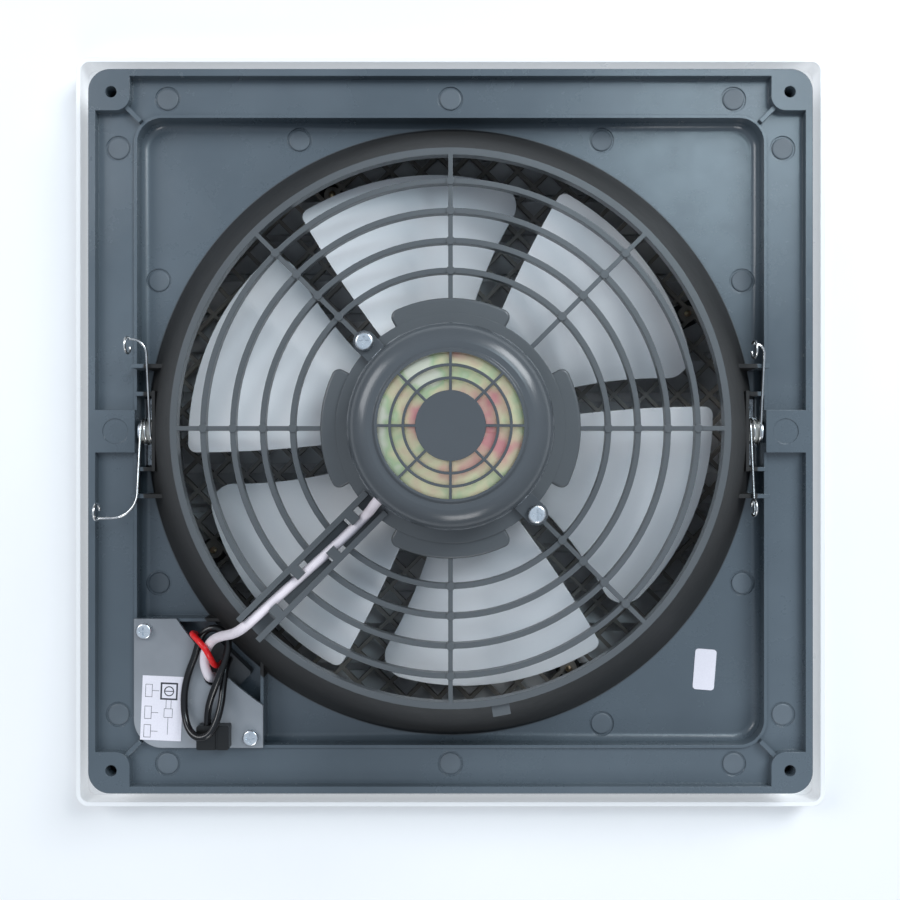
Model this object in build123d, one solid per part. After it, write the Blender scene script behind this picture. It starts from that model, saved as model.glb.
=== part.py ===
from build123d import *
import math
import os

# A flush ceiling exhaust fan. Z runs up, from the room into the duct. The origin is the centre of
# the front panel's room face, on the fan's axis, and +Y is the side away from the terminal box.

# Driving dimensions, in millimetres and degrees

panel_width = 372.0
panel_lip_height = 13.0
panel_lip_wall = 2.2
panel_floor = 2.5
panel_corner = 6.5
intake_width = 272.0
intake_corner = 18.0
intake_wall = 2.0
slat_pitch = 20.0
slat_gap = 4.8
slat_thickness = 1.8
slat_base = 0.6
slat_top = 8.0
slat_count = 6
centre_band = 31.6

frame_width = 350.0
frame_corner = 10.6
rim_wall = 3.4
rim_top = 26.0
channel_depth = 4.5
channel_floor = 2.5
pocket_width = 305.0
pocket_corner = 12.0
pocket_wall = 2.2
pocket_floor_top = 13.0
pocket_floor = 2.5
pocket_fillet = 3.5
ridge_wall = 1.6
ridge_height = 1.2
corner_pad = 20.0
pad_corner = 7.0
ceiling_hole = 5.5
ceiling_hole_edge = 11.0
bridge_width = 20.6
pin_mark_radius = 6.1
pin_mark_depth = 0.5

collar_base_radius = 150.0
collar_top_radius = 124.2
collar_top = 64.5
collar_wall = 2.6
ledge_radius = 141.0

guard_top = 69.0
guard_rib = 2.4
spoke_width = 2.0
guard_ring_first = 69.1
guard_ring_step = 13.07
guard_ring_count = 4
guard_boss_radius = 1.9
seat_top = 72.0
seat_radius = 50.0
petal_radius = 57.0
petal_half_angle = 28.5
petal_corner = 3.5
cable_angle = 225.0
channel_gap = 9.4
channel_wall = 2.6
channel_top = 73.0
hook_width = 4.5
hook_reach = 4.6
hook_radii = (57.5, 74.2, 91.1, 109.6)

lattice_thickness = 3.0
lattice_radius = 144.8
lattice_window = 138.5
lattice_pitch = 15.8
lattice_bar = 1.9
lattice_shift_x = 1.6
lattice_shift_y = 2.4
lattice_hub = 34.0
lattice_screw_circle = 130.5
lattice_screw_angle = 206.5

motor_radius = 33.5
motor_wall = 1.2
motor_flange_radius = 41.0
motor_bottom = 57.0
motor_top = 99.0
motor_screw_circle = 37.3
stator_bore = 20.0
stator_bottom = 67.0
stator_height = 18.0
air_gap = 0.5
shaft_radius = 4.0
shaft_bottom = 23.0
shaft_top = 96.0
bearing_radius = 11.0
bearing_height = 7.0

cap_radius = 43.5
cap_wall = 2.2
cap_top = 104.0
cap_grille_radius = 29.5
cap_grille_rings = (24.4, 19.1)
cap_disc_radius = 14.2
cap_grille_rib = 1.1
cap_screw_circle = 52.5
cap_screw_head = 4.1
cap_screw_angle = 135.0

blade_count = 6
blade_tip_radius = 119.5
blade_thickness = 2.0
blade_low = 30.5
blade_rise = 20.0
blade_camber = 2.5
blade_mid_angle = 42.9
blade_half_angle = 24.2
hub_radius = 30.0
hub_bottom = 32.0
hub_top = 54.0

spring_x = 147.3
spring_z = 20.0
spring_wire = 1.2
spring_radius = 6.2
spring_pitch = 1.62
arm_offset = 2.32
arm_rest_angle = 8.4
arm_eye_radius = 3.9
slot_half_width = 4.3
slot_half_length = 17.3
slot_wall = 1.6
gusset_wall = 2.0
gusset_inner_height = 23.5
gusset_outer_y = 31.2

box_edge = 91.7
box_wall = 1.6
cover_thickness = 1.6
cover_arc_radius = 161.0
cover_notch_angle = 226.0
cover_notch_width = 9.5
cover_notch_depth = 9.0
box_screw_radius = 3.9

motor_lead_radius = 2.25
supply_lead_radius = 1.7
capacitor_lead_radius = 1.4

# Clearances

seat_gap = 0.3
running_gap = 0.05

# Heights and places that follow from the driving dimensions

frame_half = frame_width / 2
rim_inner = frame_half - rim_wall
channel_top_z = rim_top - channel_depth
channel_bottom_z = channel_top_z - channel_floor
pocket_half = pocket_width / 2
pocket_bottom_z = pocket_floor_top - pocket_floor
ridge_top = channel_top_z + ridge_height
hole_place = frame_half - ceiling_hole_edge
skirt_bottom = panel_floor + seat_gap
cover_top = ridge_top + cover_thickness
lattice_top = pocket_floor_top + lattice_thickness
guard_bottom = collar_top
cable_floor = guard_bottom + 1.5
wire_radius = spring_wire / 2


# Helpers

def block(x0, x1, y0, y1, z0, z1):
    return Pos((x0 + x1) / 2, (y0 + y1) / 2, (z0 + z1) / 2) * Box(abs(x1 - x0), abs(y1 - y0), z1 - z0)


def disc(radius, z0, z1, x=0.0, y=0.0):
    return Pos(x, y, (z0 + z1) / 2) * Cylinder(radius, z1 - z0)


def ring(outer, inner, z0, z1):
    return disc(outer, z0, z1) - disc(inner, z0 - 1, z1 + 1)


def square_plate(width, corner, z0, z1):
    return Pos(0, 0, z0) * extrude(RectangleRounded(width, width, corner), z1 - z0)


def turned(points):
    return revolve(Plane.XZ * make_face(Polyline(*points, close=True)), Axis.Z)


def polar(radius, angle):
    turn = math.radians(angle)
    return radius * math.cos(turn), radius * math.sin(turn)


def round_tube(points, radii, radius):
    path = FilletPolyline(*points, radius=radii)
    section = Plane(origin=path @ 0, z_dir=path % 0) * Circle(radius)
    return sweep(section, path), path.length


def lead(name, points, radius):
    steps = [Vector(*b) - Vector(*a) for a, b in zip(points, points[1:])]
    radii = []
    for before, after in zip(steps, steps[1:]):
        turn = math.radians(before.get_angle(after))
        radii.append(0.45 * min(before.length, after.length) / math.tan(turn / 2))
    tube, length = round_tube(points, radii, radius)
    print(name, "length", round(length, 1), "radii", [round(value, 1) for value in radii])
    print(name, "volume over section times length", round(tube.volume / (math.pi * radius ** 2 * length), 4))
    return tube


def pan_head_screw(x, y, seat, head_radius, head_height, shank_radius, length):
    head = disc(head_radius, seat, seat + head_height, x, y)
    head = fillet(head.edges().group_by(Axis.Z)[-1], head_height * 0.45)
    arm = head_radius * 1.1
    slot = head_radius * 0.26
    depth = head_height * 0.5
    for width, height in ((arm, slot), (slot, arm)):
        head -= Pos(x, y, seat + head_height - depth / 2) * Box(width, height, depth)
    return head + disc(shank_radius, seat - length, seat, x, y)


# Front panel: a white tray whose lip turns up round the frame, with slats over its intake

def slat(centre, side):
    near = centre - (slat_pitch - slat_gap) / 2
    far_edge = centre + (slat_pitch - slat_gap) / 2
    rise = slat_thickness
    outline = [(near, slat_base), (far_edge, slat_top - rise), (far_edge, slat_top), (near, slat_base + rise)]
    outline = [(side * y, z) for y, z in outline]
    face = Plane.YZ * make_face(Polyline(*outline, close=True))
    return extrude(face, intake_width / 2 + 0.5, both=True)


def front_panel():
    tray = square_plate(panel_width, panel_corner, 0, panel_lip_height)
    tray = fillet(tray.faces().sort_by(Axis.Z)[0].edges(), 1.5)
    inner = panel_width - 2 * panel_lip_wall
    tray -= square_plate(inner, panel_corner - panel_lip_wall, panel_floor, panel_lip_height + 1)
    tray -= square_plate(intake_width, intake_corner, -1, panel_floor + 1)
    surround = square_plate(intake_width + 2 * intake_wall, intake_corner + intake_wall, 0.3, slat_top)
    surround -= square_plate(intake_width, intake_corner, -1, slat_top + 1)
    pieces = [surround]
    half = intake_width / 2 + 0.5
    band_top = slat_base + slat_thickness
    pieces.append(block(-half, half, -centre_band / 2, centre_band / 2, slat_base, band_top))
    pieces.append(block(-1, 1, -half, half, slat_base, slat_top))
    first = centre_band / 2 + slat_gap + (slat_pitch - slat_gap) / 2
    window = square_plate(intake_width + 1, intake_corner, slat_base - 1, slat_top + 1)
    for side in (-1, 1):
        for index in range(slat_count):
            pieces.append(slat(first + index * slat_pitch, side) & window)
    for side in (-1, 1):
        for end in (-1, 1):
            pieces.append(block(side * spring_x - 3.6, side * spring_x + 3.6,
                                end * stud_inner, end * stud_outer, panel_floor - 0.5, holder_foot_z))
    panel = tray + pieces
    for side in (-1, 1):
        for end in (-1, 1):
            panel -= disc(holder_screw_radius, panel_floor, holder_foot_z + 1,
                          side * spring_x, end * stud_middle)
    return panel


# Spring holder: a folded bracket on two studs of the panel, with a pin through the coil

stud_inner = 9.0
stud_outer = 16.0
stud_middle = (stud_inner + stud_outer) / 2
holder_foot_z = 9.0
holder_foot_thickness = 1.2
holder_screw_radius = 1.1
cheek_inner = arm_offset + wire_radius + seat_gap
cheek_wall = 0.78
cheek_half_width = 5.5
pin_radius = spring_radius - wire_radius - seat_gap
pin_spigot = 2.0


def spring_holder(side):
    centre = side * spring_x
    foot_top = holder_foot_z + holder_foot_thickness
    outer = cheek_inner + cheek_wall
    body = block(centre - outer, centre + outer, -16.5, 16.5, holder_foot_z, foot_top)
    for turn in (-1, 1):
        cheek = block(centre + turn * cheek_inner, centre + turn * outer,
                      -cheek_half_width, cheek_half_width, foot_top, spring_z)
        round_top = Pos(centre + turn * (cheek_inner + cheek_wall / 2), 0, spring_z) * Rot(0, 90, 0)
        body += [cheek, round_top * Cylinder(cheek_half_width, cheek_wall)]
    body -= Pos(centre, 0, spring_z) * Rot(0, 90, 0) * Cylinder(pin_spigot + running_gap, 4 * outer)
    for end in (-1, 1):
        body -= disc(holder_screw_radius + 0.2, holder_foot_z - 1, foot_top + 1, centre, end * stud_middle)
    return body


def spring_pins():
    pins = []
    for side in (-1, 1):
        at = Pos(side * spring_x, 0, spring_z) * Rot(0, 90, 0)
        spool = at * Cylinder(pin_radius, 2 * cheek_inner - 0.1)
        pins.append(spool + at * Cylinder(pin_spigot, 2 * (cheek_inner + cheek_wall)))
    return Compound(children=pins)


def holder_screws():
    screws = []
    for side in (-1, 1):
        for end in (-1, 1):
            screws.append(pan_head_screw(side * spring_x, end * stud_middle,
                                         holder_foot_z + holder_foot_thickness, 2.4, 1.4,
                                         holder_screw_radius, 5.5))
    return Compound(children=screws)


# Torsion springs: one turn of wire between two arms, each arm with its own end turn and eye

def spring_coil(side):
    steps = 2
    start = -spring_pitch / 2
    points = []
    for step in range(2 * steps + 1):
        turn = math.radians(90 * step)
        points.append(Vector(side * spring_x + start + spring_pitch * step / (2 * steps),
                             spring_radius * math.cos(turn), spring_z + spring_radius * math.sin(turn)))
    arcs = [ThreePointArc(points[2 * i], points[2 * i + 1], points[2 * i + 2]) for i in range(steps)]
    path = Wire(arcs)
    section = Plane(origin=path @ 0, z_dir=path % 0) * Circle(wire_radius)
    gap = (path @ 0 - path @ 1).length - spring_wire
    print("spring coil", side, "least gap to itself", round(gap, 2))
    return sweep(section, path)


def spring_arm(side, way, straight, bend, reach):
    angle = math.radians(arm_rest_angle)
    along = Vector(0, way * math.cos(angle), math.sin(angle))
    normal = Vector(0, -way * math.sin(angle), math.cos(angle))
    centre = Vector(side * spring_x + way * arm_offset, 0, spring_z)

    def on_turn(back):
        swing = math.radians(back)
        return centre + normal * (spring_radius * math.cos(swing)) - along * (spring_radius * math.sin(swing))

    leave = on_turn(0)
    turn_in = leave + along * straight
    aside = Vector(-1, 0, 0)
    middle = turn_in + along * (bend * math.sin(math.pi / 4)) + aside * (bend * (1 - math.cos(math.pi / 4)))
    turn_out = turn_in + along * bend + aside * bend
    tip = turn_out + aside * reach
    edges = [ThreePointArc(on_turn(310), on_turn(232), on_turn(155)),
             ThreePointArc(on_turn(155), on_turn(78), on_turn(0)),
             Line(leave, turn_in), ThreePointArc(turn_in, middle, turn_out), Line(turn_out, tip)]
    path = Wire(edges)
    arm = sweep(Plane(origin=path @ 0, z_dir=path % 0) * Circle(wire_radius), path)
    lean = math.sqrt(0.5) * arm_eye_radius
    eye_centre = tip + normal * lean - along * lean

    def on_eye(round_angle):
        swing = math.radians(round_angle)
        return (eye_centre + along * (arm_eye_radius * math.cos(swing))
                + normal * (arm_eye_radius * math.sin(swing)))

    eye_path = Wire([ThreePointArc(on_eye(-45), on_eye(30), on_eye(105)),
                     ThreePointArc(on_eye(105), on_eye(180), on_eye(255))])
    eye = sweep(Plane(origin=eye_path @ 0, z_dir=eye_path % 0) * Circle(wire_radius), eye_path)
    return arm + [eye, Pos(*tip) * Sphere(wire_radius * 1.02)]


# Base frame: one moulding, from the ceiling rim down to the pocket and up through the collar

def collar_outer_at(z):
    slope = (collar_base_radius - collar_top_radius) / (collar_top - pocket_floor_top)
    return collar_base_radius - slope * (z - pocket_floor_top)


def pin_marks():
    far_place = frame_half - 13.0
    marks = []
    for x, y in ((138, far_place), (0, far_place), (-138, far_place), (138, -far_place), (0, -far_place),
                 (-138, -far_place), (far_place, 138), (far_place, -138), (-far_place, 138),
                 (-far_place, -138)):
        marks.append(disc(pin_mark_radius, channel_top_z - pin_mark_depth, rim_top, x, y))
    for x, y in ((75, 144.8), (-75, 144.8), (75, -144.8), (144.8, 75), (144.8, -75),
                 (-144.8, 75), (-144.8, -75)):
        marks.append(disc(pin_mark_radius, pocket_floor_top - pin_mark_depth, rim_top, x, y))
    for side in (-1, 1):
        marks.append(disc(pin_mark_radius, rim_top - 0.3, rim_top + 1, side * far_place, 0))
    return marks


def base_frame():
    body = square_plate(frame_width, frame_corner, skirt_bottom, rim_top)
    hollow = square_plate(2 * rim_inner, frame_corner - rim_wall, skirt_bottom - 1, channel_bottom_z)
    pocket_outside = square_plate(pocket_width + 2 * pocket_wall, pocket_corner + pocket_wall,
                                  pocket_bottom_z, channel_bottom_z + 1)
    body -= hollow - pocket_outside
    recess = square_plate(2 * rim_inner, frame_corner - rim_wall, channel_top_z, rim_top + 1)
    for sx in (-1, 1):
        for sy in (-1, 1):
            pad = RectangleRounded(2 * corner_pad, 2 * corner_pad, pad_corner)
            place = Pos(sx * frame_half, sy * frame_half, channel_top_z - 1)
            recess -= place * extrude(pad, channel_depth + 3)
    for side in (-1, 1):
        recess -= block(side * (pocket_half - 1), side * frame_half,
                        -bridge_width / 2, bridge_width / 2, channel_top_z - 1, rim_top + 2)
    body -= recess
    ridge = square_plate(pocket_width + 2 * ridge_wall, pocket_corner + ridge_wall,
                         channel_top_z - 1, ridge_top)
    body += ridge
    pocket = square_plate(pocket_width, pocket_corner, pocket_floor_top, rim_top + 1)
    pocket = fillet(pocket.faces().sort_by(Axis.Z)[0].edges(), pocket_fillet)
    body -= pocket
    body -= disc(ledge_radius, skirt_bottom - 1, rim_top)
    for sx in (-1, 1):
        for sy in (-1, 1):
            middle = (pocket_half + frame_half - corner_pad) / 2 + 1.2
            rib = Pos(sx * middle, sy * middle, channel_top_z + 1) * Rot(0, 0, 45 * sx * sy) * Box(13, 2.2, 4)
            body += rib
    base_inner = collar_base_radius - collar_wall
    top_inner = collar_top_radius - collar_wall
    collar = turned([(ledge_radius, pocket_bottom_z), (collar_base_radius, pocket_bottom_z),
                     (collar_base_radius, pocket_floor_top), (collar_top_radius, collar_top),
                     (top_inner, collar_top), (base_inner, pocket_floor_top),
                     (ledge_radius, pocket_floor_top)])
    inside = turned([(0, pocket_bottom_z - 1), (base_inner, pocket_bottom_z - 1),
                     (base_inner, pocket_floor_top), (top_inner, collar_top), (0, collar_top)])
    gusset_outer_height = arm_rest_height(gusset_outer_y - gusset_wall / 2) - seat_gap
    ribs = []
    for side in (-1, 1):
        for way in (-1, 1):
            for place, height in ((slot_half_length + gusset_wall / 2, gusset_inner_height),
                                  (gusset_outer_y, gusset_outer_height)):
                ribs.append(block(side * (collar_outer_at(height) - 6), side * (pocket_half + 0.5),
                                  way * place - gusset_wall / 2, way * place + gusset_wall / 2,
                                  pocket_floor_top - 0.5, height))
    ribs.append(block(-pocket_half - 0.5, -80, -box_edge - box_wall / 2, -box_edge + box_wall / 2,
                      pocket_floor_top - 0.5, ridge_top))
    ribs.append(block(-box_edge - box_wall / 2, -box_edge + box_wall / 2, -pocket_half - 0.5, -80,
                      pocket_floor_top - 0.5, ridge_top))
    added = [rib - inside for rib in ribs]
    for x, y in box_screw_places():
        added.append(disc(3.6, pocket_floor_top - 0.5, ridge_top, x, y))
    body = body + [collar] + added
    for side in (-1, 1):
        inner = spring_x - slot_half_width
        outer = spring_x + slot_half_width
        body -= block(side * inner, side * outer, -slot_half_length, slot_half_length,
                      pocket_bottom_z - 1, collar_top - 30)
        wall = block(side * (inner - slot_wall), side * inner, -slot_half_length - gusset_wall,
                     slot_half_length + gusset_wall, pocket_bottom_z, collar_height_at(inner - slot_wall))
        body += wall
    for index in range(4):
        angle = lattice_screw_angle + 90 * index
        tongue = Rot(0, 0, angle) * block(lattice_screw_circle - 5.5, base_inner - 2, -6, 6,
                                          pocket_bottom_z, pocket_floor_top)
        x, y = polar(lattice_screw_circle, angle)
        body = body + tongue
        body -= disc(1.75, pocket_bottom_z - 1, pocket_floor_top + 1, x, y)
    for sx in (-1, 1):
        for sy in (-1, 1):
            body -= disc(ceiling_hole / 2, skirt_bottom - 1, rim_top + 1, sx * hole_place, sy * hole_place)
    for x, y in box_screw_places():
        body -= disc(1.5, pocket_floor_top + 1, ridge_top + 1, x, y)
    for mark in pin_marks():
        body -= mark
    return body


def collar_height_at(radius):
    slope = (collar_base_radius - collar_top_radius) / (collar_top - pocket_floor_top)
    return pocket_floor_top + (collar_base_radius - radius) / slope


def arm_rest_height(y):
    angle = math.radians(arm_rest_angle)
    return spring_z + spring_radius / math.cos(angle) + y * math.tan(angle) - wire_radius / math.cos(angle)


def box_screw_places():
    edge = pocket_half - 4.2
    inner = box_edge + box_wall / 2 + 4.2
    return (-edge, -inner), (-inner, -edge)


# Outlet guard: rings and spokes over the collar, the motor seat and the cable channel

def guard_spokes():
    rings = [guard_ring_first + guard_ring_step * index for index in range(guard_ring_count)]
    parts = []
    for radius in rings:
        parts.append(ring(radius + guard_rib / 2, radius - guard_rib / 2, guard_bottom + 0.5, guard_top))
    for index in range(8):
        angle = 45 * index
        if angle == cable_angle:
            continue
        bar = block(seat_radius - 2, collar_top_radius - 2, -spoke_width / 2, spoke_width / 2,
                    guard_bottom + 0.5, guard_top)
        parts.append(Rot(0, 0, angle) * bar)
        for radius in rings:
            x, y = polar(radius, angle)
            parts.append(disc(guard_boss_radius, guard_bottom + 0.5, guard_top + 0.5, x, y))
    return parts


def petal(angle):
    sector = Sketch() + Circle(petal_radius) - Circle(seat_radius - 4)
    half = petal_radius * math.tan(math.radians(petal_half_angle))
    wedge = make_face(Polyline((0, 0), (petal_radius * 1.2, half * 1.2), (petal_radius * 1.2, -half * 1.2),
                               close=True))
    outline = sector & wedge
    tips = outline.vertices().sort_by(lambda v: math.hypot(v.X, v.Y))[-2:]
    outline = fillet(tips, petal_corner)
    pad = Pos(0, 0, guard_bottom + 1.5) * extrude(outline, seat_top - guard_bottom - 3.0)
    pad = fillet(pad.faces().sort_by(Axis.Z)[-1].edges(), 1.2)
    return Rot(0, 0, angle) * pad


def outlet_guard():
    rim = ring(collar_top_radius - 1.3, collar_top_radius - collar_wall - 1.8, guard_bottom, guard_top)
    seat = ring(seat_radius, motor_radius + 0.5, guard_bottom + 1.5, seat_top)
    parts = guard_spokes() + [seat]
    for index in range(4):
        parts.append(petal(90 * index))
    for angle in (cap_screw_angle, cap_screw_angle + 180):
        x, y = polar(cap_screw_circle, angle)
        parts.append(disc(5.2, guard_bottom + 1.5, seat_top, x, y))
    guard = rim + parts
    half = channel_gap / 2
    reach_in = cap_radius + 2
    reach_out = collar_top_radius
    trough = block(reach_in, reach_out + 1, -half, half, cable_floor, channel_top + 1)
    guard -= Rot(0, 0, cable_angle) * trough
    walls = [block(reach_in - 3, reach_out, -half - 0.5, half + 0.5, guard_bottom, cable_floor)]
    for side in (-1, 1):
        walls.append(block(reach_in, reach_out, side * half, side * (half + channel_wall),
                           guard_bottom, channel_top))
    for index, radius in enumerate(hook_radii):
        side = -1 if index % 2 == 0 else 1
        hook = block(radius - hook_width / 2, radius + hook_width / 2, side * half + side * 0.3,
                     side * (half - hook_reach), channel_top - 1.6, channel_top)
        walls.append(hook)
    guard += [Rot(0, 0, cable_angle) * wall for wall in walls]
    for index, radius in enumerate(hook_radii):
        side = -1 if index % 2 == 0 else 1
        hole = block(radius - hook_width / 2 - 2.2, radius + hook_width / 2 + 2.2, side * half,
                     side * (half - hook_reach), guard_bottom - 1, cable_floor + 1)
        guard -= Rot(0, 0, cable_angle) * hole
    for index in range(4):
        x, y = polar(motor_screw_circle, 90 * index)
        guard -= disc(1.3, guard_bottom + 3, seat_top + 1, x, y)
    for angle in (cap_screw_angle, cap_screw_angle + 180):
        x, y = polar(cap_screw_circle, angle)
        guard -= disc(1.5, guard_bottom - 1, seat_top + 1, x, y)
    tab = Rot(0, 0, -79.8) * block(collar_top_radius - 2, collar_top_radius + 4, -4, 4,
                                   guard_bottom + 0.3, guard_bottom + 2.3)
    return guard + tab


# Intake lattice: crossed bars in a ring on the frame's ledge, held by four screws from below

def intake_lattice():
    spacing = lattice_pitch / math.sqrt(2)
    count = 2 * math.ceil(lattice_radius / spacing) + 3
    bars = Sketch()
    for turn in (45, -45):
        strips = Sketch() + [at * Rectangle(3 * lattice_radius, lattice_bar)
                             for at in GridLocations(spacing, spacing, 1, count)]
        bars += Pos(lattice_shift_x, lattice_shift_y) * Rot(0, 0, turn) * strips
    mesh = bars & Circle(lattice_window + 1)
    outline = mesh + (Circle(lattice_radius) - Circle(lattice_window)) + Circle(lattice_hub)
    for index in range(4):
        x, y = polar(lattice_screw_circle, lattice_screw_angle + 90 * index)
        outline += Pos(x, y) * Circle(4.2)
    reach = spring_x - slot_half_width - slot_wall - seat_gap
    for side in (-1, 1):
        width = lattice_radius - reach + 1
        notch = Rectangle(width, 2 * (slot_half_length + gusset_wall + seat_gap))
        outline -= Pos(side * (reach + width / 2), 0) * notch
    lattice = Pos(0, 0, pocket_floor_top) * extrude(outline, lattice_thickness)
    for index in range(4):
        x, y = polar(lattice_screw_circle, lattice_screw_angle + 90 * index)
        lattice -= disc(lattice_screw_radius, pocket_floor_top - 1, lattice_top + 1, x, y)
    return lattice


lattice_screw_radius = 1.5


def lattice_screws():
    screws = []
    for index in range(4):
        x, y = polar(lattice_screw_circle, lattice_screw_angle + 90 * index)
        head_bottom = pocket_bottom_z - 2.0
        head = disc(3.2, head_bottom, pocket_bottom_z, x, y)
        shank = disc(lattice_screw_radius, pocket_bottom_z, lattice_top + 3.0, x, y)
        screws.append(head + chamfer(shank.edges().group_by(Axis.Z)[-1], 1.0))
    return Compound(children=screws)


# Impeller: a hub cup with six broad blades, and the shaft that drives it

def blade():
    sections = []
    for reach in (16.0, 45.0, 80.0, 126.0):
        half = reach * math.tan(math.radians(33)) + 3
        slope = (blade_rise / 2) / (reach * math.tan(math.radians(blade_half_angle)))
        base = blade_low + blade_rise / 2
        low = Vector(reach, -half, base - slope * half)
        high = Vector(reach, half, base + slope * half)
        crest = Vector(reach, 0, base + blade_camber)
        lift = Vector(0, 0, blade_thickness)
        lower = ThreePointArc(low, crest, high)
        upper = ThreePointArc(low + lift, crest + lift, high + lift)
        edges = [lower, Line(high, high + lift), upper, Line(low + lift, low)]
        sections.append(make_face(Wire(edges)))
    sheet = loft(sections)
    sheet = Rot(0, 0, blade_mid_angle) * sheet
    tip = blade_tip_radius
    root_low = Vector(*polar(hub_radius - 4, 22.0))
    root_high = Vector(*polar(hub_radius - 4, 65.2))
    tip_low = Vector(*polar(tip, 11.9))
    tip_high = Vector(*polar(tip, 65.0))
    tip_mid = Vector(*polar(tip, 38.0))
    root_mid = Vector(*polar(hub_radius - 4, 43.0))
    outline = make_face(Wire([ThreePointArc(root_low, Vector(75, 23.4), tip_low),
                              ThreePointArc(tip_low, tip_mid, tip_high),
                              ThreePointArc(tip_high, Vector(28.9, 67.0), root_high),
                              ThreePointArc(root_high, root_mid, root_low)]))
    corners = outline.vertices().sort_by(lambda v: math.hypot(v.X, v.Y))[-2:]
    leading = corners.sort_by(Axis.Y)[0]
    outline = fillet(leading, 10.0)
    trailing = outline.vertices().filter_by(lambda v: abs(v.Y - tip_high.Y) < 0.1)
    outline = fillet(trailing, 4.0)
    planform = Pos(0, 0, 10) * extrude(outline, 60)
    return sheet & planform


def impeller():
    hub = disc(hub_radius, hub_bottom, hub_top) - disc(hub_radius - 2.5, hub_bottom + 3, hub_top + 1)
    boss = disc(8.0, hub_bottom + 1, hub_top - 4)
    blades = [Rot(0, 0, 360 / blade_count * index) * blade() for index in range(blade_count)]
    inside = disc(hub_radius - 2.4, hub_bottom - 10, hub_top + 20)
    body = hub + [one - inside for one in blades] + [boss]
    body -= disc(shaft_radius + running_gap, hub_bottom - 1, hub_top + 1)
    body -= block(-9, 9, -pin_slot / 2, pin_slot / 2, pin_height - pin_thickness, hub_top + 5)
    return body


pin_thickness = 1.2
pin_slot = 2.6
pin_height = hub_top - 5.0


def rotor_shaft():
    shaft = disc(shaft_radius, shaft_bottom, shaft_top)
    shaft = chamfer(shaft.edges(), 0.5)
    return shaft - Pos(0, 0, pin_height) * Rot(0, 90, 0) * Cylinder(pin_thickness, 20)


def drive_pin():
    return Pos(0, 0, pin_height) * Rot(0, 90, 0) * Cylinder(pin_thickness - 0.02, 14)


def impeller_washer():
    return ring(7.5, shaft_radius + running_gap, hub_bottom - 1.2, hub_bottom)


def impeller_nut():
    nut = Pos(0, 0, hub_bottom - 7.2) * extrude(RegularPolygon(7.5, 6), 6.0)
    return nut - disc(shaft_radius + running_gap, shaft_bottom - 5, hub_bottom)


def rotor_core():
    core = disc(stator_bore - air_gap, stator_bottom, stator_bottom + stator_height)
    core = chamfer(core.edges(), 0.8)
    return core - disc(shaft_radius + 0.01, stator_bottom - 1, stator_bottom + stator_height + 1)


# Motor: two zinc plated shells, the stator between them and a bearing in each

def motor_shell_front():
    inner = motor_radius - motor_wall
    shell = disc(motor_radius, motor_bottom, seat_top + motor_wall)
    shell = fillet(shell.edges().group_by(Axis.Z)[0], 3.0)
    shell += disc(motor_flange_radius, seat_top, seat_top + motor_wall)
    shell -= disc(inner, motor_bottom + motor_wall, seat_top + 2 * motor_wall)
    shell += ring(bearing_radius + 2, bearing_radius + 0.02, motor_bottom + motor_wall / 2,
                  motor_bottom + motor_wall + bearing_height)
    shell -= disc(shaft_radius + 1.5, motor_bottom - 1, motor_bottom + 2 * motor_wall)
    for index in range(4):
        x, y = polar(motor_screw_circle, 90 * index)
        shell -= disc(motor_screw_radius, seat_top - 1, seat_top + 3, x, y)
    return shell


motor_screw_radius = 1.5


def motor_shell_rear():
    inner = motor_radius - motor_wall
    flange = seat_top + motor_wall
    shell = disc(motor_radius, flange, motor_top)
    shell = fillet(shell.edges().group_by(Axis.Z)[-1], 3.0)
    shell += disc(motor_flange_radius, flange, flange + motor_wall)
    shell -= disc(inner, flange - 1, motor_top - motor_wall)
    shell += ring(bearing_radius + 2, bearing_radius + 0.02, motor_top - motor_wall - bearing_height,
                  motor_top - motor_wall / 2)
    for index in range(4):
        x, y = polar(motor_screw_circle, 90 * index)
        shell -= disc(motor_screw_radius, flange - 1, flange + 3, x, y)
        for turn in (-5.5, 5.5):
            x, y = polar(16.5, 90 * index + turn)
            shell += Pos(x, y, motor_top + 0.4) * Rot(0, 0, 90 * index + turn) * Box(4.0, 1.8, 1.2)
    return shell


def bearing(z0):
    race = ring(bearing_radius, shaft_radius + running_gap, z0, z0 + bearing_height)
    groove = ring(bearing_radius - 2.2, shaft_radius + 1.8, z0 - 1, z0 + 0.6)
    return race - groove


def stator_core():
    core = ring(motor_radius - motor_wall - 0.05, stator_bore, stator_bottom, stator_bottom + stator_height)
    for index in range(12):
        slot = block(stator_bore + 1.5, stator_bore + 8, -1.6, 1.6, stator_bottom - 1,
                     stator_bottom + stator_height + 1)
        core -= Rot(0, 0, 30 * index) * slot
    return core


def stator_windings():
    upper = stator_bottom + stator_height
    ends = []
    for z0, z1 in ((stator_bottom - 5.5, stator_bottom), (upper, upper + 5.5)):
        end = ring(stator_bore + 9, stator_bore + 1, z0, z1)
        face = end.faces().sort_by(Axis.Z)[0 if z1 == stator_bottom else -1]
        ends.append(fillet(face.edges(), 2.0))
    return Compound(children=ends)


def motor_screws():
    screws = []
    for index in range(4):
        x, y = polar(motor_screw_circle, 90 * index)
        screws.append(pan_head_screw(x, y, seat_top + 2 * motor_wall, 2.8, 1.9, 1.28, 6.5))
    return Compound(children=screws)


# Motor cap: a domed cover with a ring grille, held by two ears

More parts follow.
